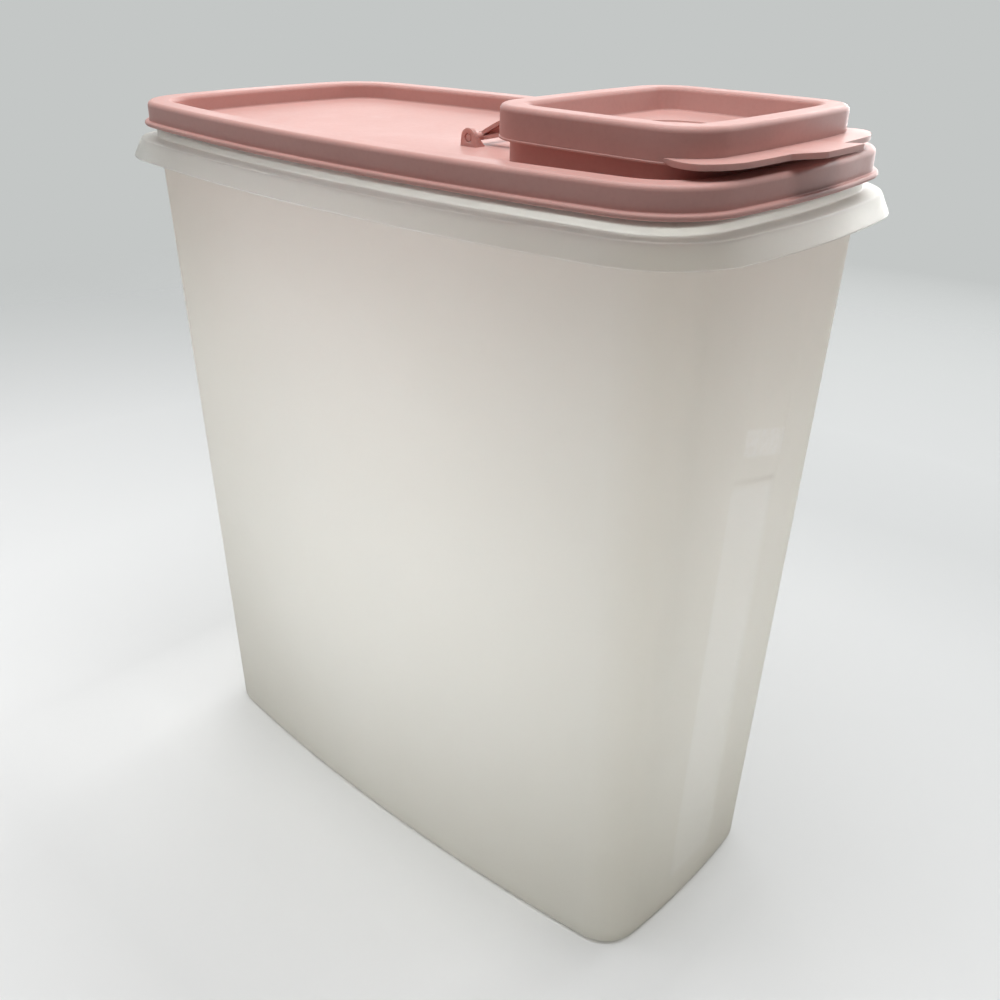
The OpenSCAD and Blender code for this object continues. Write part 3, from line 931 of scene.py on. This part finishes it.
@dataclass(frozen=True)
class FlipCap:
    """The spout's flip cap with its sunk tray and wavy thumb flange."""

    top: float = 252.8
    bottom: float = 244.5
    face: float = 2.7
    clearance: float = 1.2
    ceiling: float = 251.2
    tray: float = 246.6
    tray_under: float = 245.1
    tray_face: float = -4.5
    tray_draft: float = 1.0
    crown: float = 1.5
    fillet: float = 0.6
    soft: float = 0.3
    edge_lip: float = 0.2
    flange_top: float = 246.3
    flange_bottom: float = 244.2
    flange_round: float = 0.55
    flange_root: float = 0.6
    flange_reach: float = 6.3
    tab_reach: float = 13.7
    tab_width: float = 18.0
    tab_blend: float = 3.0
    tab_rise: float = 1.1
    thin_end: float = 1.2
    grow_from: float = 78.0
    grow_to: float = 42.0
    ring_radius: float = 13.0
    ring: tuple[Spot, ...] = ((-0.5, -0.2), (-0.5, 0.05), (-0.3, 0.35), (0.3, 0.35),
                              (0.5, 0.05), (0.5, -0.2))

    def section(self) -> Section:
        """Returns the section from the tray over the crown to the tray's underside."""
        crown, foot, soft = self.crown, self.tray_face - self.tray_draft, self.soft
        edge, channel = self.face + self.edge_lip, self.tray_face + 1.5
        return (
            Section()
            .turn((foot - self.fillet, self.tray + self.fillet), self.fillet, -90, -8, 4)
            .turn((self.tray_face + crown, self.top - crown), crown, 172, 90, 8)
            .turn((self.face - crown, self.top - crown), crown, 90, 0, 8)
            .to((self.face, self.bottom + 0.6), (edge, self.bottom + 0.45))
            .turn((edge - 0.15, self.bottom + 0.15), 0.15, 0, -90, 3)
            .turn((self.clearance + 0.2, self.bottom + 0.2), 0.2, 270, 180, 2)
            .turn((self.clearance - soft, self.ceiling - soft), soft, 0, 90, 2)
            .turn((channel + soft, self.ceiling - soft), soft, 90, 180, 2)
            .to((channel - self.tray_draft, self.tray_under))
        )

    def flange_at(self, angle: float, y: float) -> tuple[float, float, float]:
        """Shapes the flange at one place.

        Args:
            angle: Direction of the wall at that place, in degrees.
            y: Distance from the middle of the cap.

        Returns:
            The flange's reach, its edge's rise and what its underside lacks.
        """
        grown = smooth((self.grow_from - abs(angle)) / (self.grow_from - self.grow_to))
        tab = smooth((self.tab_width / 2 + self.tab_blend - abs(y)) / self.tab_blend)
        reach = (self.flange_reach * grown - self.flange_root / 2 * (1 - grown)
                 + (self.tab_reach - self.flange_reach) * tab)
        thin = 1 - smooth(3 * grown)
        lacks = thin * (self.flange_top - self.bottom - self.thin_end)
        return reach, tab * self.tab_rise, lacks

    def _columns(self) -> list[tuple[Spot, float, float]]:
        """Lists the flange's columns: the centre, radius and angle of the wall there."""
        shape = NECK.grown(self.face)
        corner, mid, bow = shape.corner_centre(), shape.centre_x, shape.end_bow
        end = math.degrees(shape.end_angle())
        fine = self.tab_width / 2 + self.tab_blend + 1.0
        half = (spread(0.0, fine - 5.5, 4) + spread(fine - 5.5, fine, 12)[1:]
                + spread(fine, bow * math.sin(math.radians(end)), 10)[1:])
        along = [math.degrees(math.asin(y / bow)) for y in half]
        front = [-angle for angle in along[-2::-1]] + along[1:]
        return [
            *(((mid + corner.x, -corner.y), shape.corner, angle)
              for angle in spread(-self.grow_from, -end, 24)),
            *(((mid + shape.half_length - bow, 0.0), bow, angle) for angle in front),
            *(((mid + corner.x, corner.y), shape.corner, angle)
              for angle in spread(end, self.grow_from, 24)[1:]),
        ]

    def _first_column(self, centre: Spot, radius: float, angle: float) -> list[Vector]:
        """Returns the corners of the flange's first column."""
        soft, low, high = self.flange_round, self.flange_bottom, self.flange_top
        way = heading(angle)
        reach, rise, thin = self.flange_at(angle, centre[1] + radius * way.y)
        foot = Vector((*centre, 0)) + way * radius
        inner = [foot - way * self.flange_root + Vector((0, 0, z))
                 for z in (high, low + thin)]
        edge = Section().turn((-soft, high - soft), soft, 90, 0, 4).turn(
            (-soft, low + soft), soft, 0, -90, 4)
        outer = [foot + way * (reach + out)
                 + Vector((0, 0, up + rise + thin * (up < (low + high) / 2)))
                 for out, up in edge.spots]
        return [inner[0], *outer, inner[1]]

    def _flange(self, bench: Bench) -> None:
        """Adds the thumb flange, column by column along the cap's front."""
        columns = self._columns()
        bench.ring(self._first_column(*columns[0]))
        for (_, _, before), (centre, radius, angle) in zip(columns, columns[1:]):
            way, middle = heading(angle), Vector((*centre, 0))
            was = self.flange_at(before, centre[1] + radius * heading(before).y)
            now = self.flange_at(angle, centre[1] + radius * way.y)
            bench.extrude()
            bench.turn(centre, angle - before)

            def in_column(place: Vector, least: float = -2.0) -> bool:
                """Says whether a place is in this column, beyond a reach."""
                flat = Vector((place.x, place.y, 0)) - middle
                return abs(flat.cross(way).z) < 0.002 and flat.dot(way) > radius + least

            bench.narrow(lambda p: in_column(p, -0.4))
            bench.move(*(way * (now[0] - was[0])).xy, z=now[1] - was[1])
            if now[2] != was[2]:
                split = (self.flange_bottom + self.flange_top + was[2]) / 2 + now[1]
                bench.pick(lambda p: in_column(p) and p.z < split)
                bench.move(z=now[2] - was[2])
            bench.pick(in_column)
        bench.pick(lambda p: True, open_only=True)
        bpy.ops.mesh.edge_face_add()

    def model(self) -> bpy.types.Object:
        """Models the cap and returns it."""
        bench = Bench("flip_cap_shell")
        self._flange(bench)
        bench.sweep(self.section(), NECK)
        for height in (self.tray, self.tray_under):
            bench.pick_level(height)
            bpy.ops.mesh.edge_face_add()
        reach = NECK.centre_x + self.ring_radius
        bench.ring((reach + out, 0, self.tray + up) for out, up in self.ring)
        bench.spin((NECK.centre_x, 0.0), 2 * math.pi, 72)
        return bench.done()


@dataclass(frozen=True)
class Hinge:
    """The two ears on the lid and the cap's yoke, which turns between them."""

    rod_x: float = 10.7
    rod_z: float = 239.0
    rod: float = 1.1
    rod_chamfer: float = 0.2
    bore: float = 1.32
    panel: float = 236.6
    sunk: float = 0.3
    ear_radius: float = 2.75
    ear_foot: float = 6.3
    ear_outer: float = 14.5
    ear_inner: float = 12.9
    ear_soft: float = 0.22
    gusset_length: float = 2.9
    gusset_from: float = 1.5
    gusset_width: float = 1.4
    arm_outer: float = 9.0
    arm_inner: float = 5.8
    arm_flange: float = 1.1
    arm_root: float = 4.2
    arm_soft: float = 0.18
    hub: float = 1.35
    cap_x: float = 37.6
    cap_bottom: float = 244.5
    into_cap: float = 1.2
    web: float = 15.0
    web_thickness: float = 1.4

    def _at(self, spot: Spot, y: float) -> tuple[float, float, float]:
        """Places a spot of a side view, drawn from the rod's axis."""
        return (self.rod_x + spot[0], y, self.rod_z + spot[1])

    def ears(self) -> bpy.types.Object:
        """Models both ears with their gussets and returns them."""
        bench = Bench("hinge_ear_pair")
        low = self.panel - self.sunk
        foot = Vector((self.ear_foot / 2, low - self.rod_z))
        lean = math.degrees(math.atan2(foot.y, foot.x)
                            + math.acos(self.ear_radius / foot.length))
        arch = Section(tuple(foot)).turn(
            (0.0, 0.0), self.ear_radius, lean, 180 - lean, 24).to((-foot.x, foot.y))
        for side in (1, -1):
            inner, outer = side * self.ear_inner, side * self.ear_outer
            bench.ring(self._at(spot, inner) for spot in arch.spots)
            bpy.ops.mesh.primitive_circle_add(
                vertices=32, radius=self.bore * MM, rotation=(math.pi / 2, 0, 0),
                location=Vector((self.rod_x, inner, self.rod_z)) * MM)
            bench.pick(lambda p: abs(p.y - inner) < 0.001)
            bpy.ops.mesh.fill(use_beauty=True)
            bench.extrude(y=outer - inner)
        bench.weld()
        bench.soften(self.ear_soft)
        x, tall = self.rod_x + self.gusset_from, self.rod_z + 0.2
        for side in (1, -1):
            inside = self.ear_inner + 0.4
            bench.ring((x, side * y, z) for y, z in (
                (inside, low), (inside, tall), (self.ear_inner, tall),
                (self.ear_inner - self.gusset_length, low)))
            bpy.ops.mesh.edge_face_add()
            bench.extrude(x=self.gusset_width)
        return bench.done()

    def _arm(self, bench: Bench, side: int) -> None:
        """Adds one arm with its pocket and hub."""
        run, rise = self.cap_x + self.into_cap - self.rod_x, self.cap_bottom - self.rod_z
        half, depth = 0.9 * self.hub, self.arm_outer - self.arm_inner
        shares = spread(0.0, 1.0, 14)
        upper = [(run * t, half + (rise + self.arm_root - half) * (1 - (1 - t) ** 2))
                 for t in shares]
        loop = Section().turn((0.0, 0.0), self.hub, 116, 244, 8).to(
            *((run * t, (rise + half) * t - half) for t in shares), *upper[::-1])
        bench.ring(self._at(spot, side * self.arm_inner) for spot in loop.spots)
        bpy.ops.mesh.edge_face_add()
        bench.extrude(y=side * depth)
        bench.weld()
        bench.pick_faces(lambda middle, normal: side * middle.y > self.arm_outer - 0.01)
        bpy.ops.mesh.inset(thickness=self.arm_flange * MM, depth=0)
        bench.extrude(y=-side * depth / 2)

    def yoke(self) -> bpy.types.Object:
        """Models the yoke, its web and the rod, and returns them."""
        bench = Bench("cap_yoke_frame", gap=0.0005)
        for side in (1, -1):
            self._arm(bench, side)
        bench.weld()
        bench.soften(self.arm_soft)
        half = self.ear_outer - 0.15
        tip = ((half, 0.0), (half, self.rod - self.rod_chamfer),
               (half - self.rod_chamfer, self.rod))
        bench.chain([*(self._at((0.0, up), -y) for y, up in tip),
                     *(self._at((0.0, up), y) for y, up in tip[::-1])])
        bpy.ops.mesh.spin(steps=32, angle=2 * math.pi, axis=(0, 1, 0),
                          center=(self.rod_x * MM, 0, self.rod_z * MM))
        bench.weld()
        length, width = self.web + self.into_cap, 2 * self.arm_inner + 1.0
        bench.select("DESELECT")
        bpy.ops.mesh.primitive_cube_add(
            size=MM, scale=(length, width, self.web_thickness),
            location=Vector((self.cap_x - self.web + length / 2, 0,
                             self.cap_bottom + self.web_thickness / 2)) * MM)
        bpy.ops.mesh.select_mode(type="EDGE")
        bench.bevel(0.25)
        return bench.done()


@dataclass(frozen=True)
class Lamp:
    """A soft square lamp: its place and side in metres, and its power in watts."""

    name: str
    place: tuple[float, float, float]
    size: float
    power: float
    target: tuple[float, float, float] = (0.0, 0.0, 0.12)

    def hang(self) -> None:
        """Adds the lamp to the scene."""
        data = bpy.data.lights.new(self.name, "AREA")
        data.size, data.energy = self.size, self.power
        lamp = bpy.data.objects.new(self.name, data)
        bpy.context.scene.collection.objects.link(lamp)
        way = Vector(self.target) - Vector(self.place)
        lamp.rotation_euler = way.to_track_quat("-Z", "Y").to_euler()
        lamp.location = self.place


LAMPS = (
    Lamp("overhead", (0.0, 0.0, 1.5), 1.4, 25.0),
    Lamp("behind_left", (-0.95, 1.05, 0.6), 1.0, 3.3),
    Lamp("behind", (0.0, 1.5, 0.45), 1.1, 19.0),
    Lamp("left", (-0.9, -0.9, 1.0), 1.2, 1.5),
)


@dataclass(frozen=True)
class Studio:
    """A pale floor, soft surroundings and the camera.

    The camera stands at a place in millimetres. Its angles are in radians, and its
    focal length and centre in pixels.
    """

    place: tuple[float, float, float] = (229.73, -244.56, 283.71)
    yaw: float = -0.734
    pitch: float = 0.465
    roll: float = 0.019
    focal: float = 1058.27
    centre: Spot = (490.71, 494.93)
    frame_size: float = 1000.0
    sensor: float = 36.0
    backdrop: Colour = linear(196, 199, 198)
    soft: Colour = (0.93, 0.96, 1.0, 1.0)
    soft_strength: float = 0.02
    # Floor tones: greyer behind the object as painted shade, and paler beside its front as
    # painted light that lifts its shadow.
    near_tone: Colour = linear(230, 231, 231)
    far_shade_tone: Colour = linear(193, 195, 195)
    shadow_lift_tone: Colour = linear(251, 252, 252)
    away: tuple[float, float, float] = (-0.08, 1.0, 0.0)
    away_range: Spot = (-0.1, 0.3)
    fade_range: Spot = (0.42, 0.9)
    shadow_lift_y: tuple[Spot, Spot] = ((-0.14, -0.07), (0.0, 0.04))
    shadow_lift_x: tuple[Spot, Spot] = ((-0.15, -0.10), (0.07, 0.12))

    def camera(self) -> None:
        """Sets up the camera."""
        lens = bpy.data.cameras.new("camera")
        lens.sensor_width = self.sensor
        lens.lens = self.focal / self.frame_size * self.sensor
        lens.shift_x = (self.frame_size / 2 - self.centre[0]) / self.frame_size
        lens.shift_y = (self.centre[1] - self.frame_size / 2) / self.frame_size
        lens.clip_start = 0.01
        camera = bpy.data.objects.new("camera", lens)
        bpy.context.scene.collection.objects.link(camera)
        camera.matrix_world = (Matrix.Translation(Vector(self.place) * MM)
                               @ Matrix.Rotation(-self.yaw, 4, "Z")
                               @ Matrix.Rotation(math.pi / 2 - self.pitch, 4, "X")
                               @ Matrix.Rotation(self.roll, 4, "Z"))
        bpy.context.scene.camera = camera

    def floor(self) -> None:
        """Lays the floor: greyer behind the object as painted shade, and paler close in
        front of and beside it as painted light that lifts the object's shadow.

        Its far edge fades into the backdrop.
        """
        bpy.ops.object.select_all(action="DESELECT")
        bpy.ops.mesh.primitive_circle_add(vertices=96, radius=6.0, fill_type="NGON",
                                          location=(0, 0, -0.0002))
        floor = bpy.context.object
        floor.name = "floor"
        stuff = bpy.data.materials.new("floor_paper")
        stuff.use_nodes = True
        nodes = Nodes(stuff.node_tree)
        shader = stuff.node_tree.nodes["Principled BSDF"]
        where = nodes.place()
        reach = nodes.add("ShaderNodeVectorMath", {0: where}, operation="LENGTH")
        behind = nodes.add("ShaderNodeVectorMath", {0: where, 1: self.away},
                           operation="DOT_PRODUCT")
        x, y, _ = nodes.axes(where)
        # Mask of the painted light that lifts the object's shadow on the floor beside its
        # front.
        beside = nodes.times(*(
            nodes.map(value, *limits, *ends)
            for value, ranges in ((y, self.shadow_lift_y), (x, self.shadow_lift_x))
            for limits, ends in zip(ranges, ((0.0, 1.0), (1.0, 0.0)))))
        # Painted shade: the floor is greyer behind the object.
        colour = nodes.mix(nodes.map(behind.outputs["Value"], *self.away_range),
                           self.near_tone, self.far_shade_tone)
        # Painted light: the floor is paler beside the object's front, lifting its shadow.
        nodes.put(nodes.mix(beside, colour, self.shadow_lift_tone), shader.inputs["Base Color"])
        nodes.put(nodes.map(reach.outputs["Value"], *self.fade_range, 1.0, 0.0),
                  shader.inputs["Alpha"])
        shader.inputs["Roughness"].default_value = 0.9
        floor.data.materials.append(stuff)

    def world(self) -> None:
        """Sets the soft surroundings and the plain background."""
        world = bpy.data.worlds.new("studio")
        world.use_nodes = True
        bpy.context.scene.world = world
        nodes = Nodes(world.node_tree)
        soft = world.node_tree.nodes["Background"]
        soft.inputs["Color"].default_value = self.soft
        soft.inputs["Strength"].default_value = self.soft_strength
        plain = nodes.add("ShaderNodeBackground", {"Color": self.backdrop, "Strength": 1.0})
        path = nodes.add("ShaderNodeLightPath").outputs
        seen = nodes.math("MAXIMUM", path["Is Camera Ray"], path["Is Transmission Ray"],
                          path["Is Glossy Ray"])
        both = nodes.add("ShaderNodeMixShader", {
            0: seen, 1: soft.outputs[0], 2: plain.outputs[0]})
        nodes.put(both.outputs[0], world.node_tree.nodes["World Output"].inputs["Surface"])

    def build(self) -> None:
        """Sets up the whole studio."""
        self.camera()
        self.floor()
        self.world()
        for lamp in LAMPS:
            lamp.hang()
        bpy.context.scene.view_settings.view_transform = "Standard"


def main() -> None:
    """Builds the pieces in order and sets up the studio."""
    logging.basicConfig(level=logging.INFO, format="%(name)s: %(message)s")
    dress(Container().model(), (MILK, THIN_MILK), Body.CONTAINER, Slot.CLEAR,
          "container", "collar")
    dress(Lid().model(), (PINK,), Body.LID, Slot.PINK, "lid")
    dress(FlipCap().model(), (PINK,), Body.CAP, Slot.PINK, "flip_cap")
    hinge = Hinge()
    dress(hinge.ears(), (PINK,), Body.LID, Slot.PINK, "hinge_ears")
    dress(hinge.yoke(), (PINK,), Body.CAP, Slot.PINK, "cap_yoke")
    Studio().build()


if __name__ == "__main__":
    main()
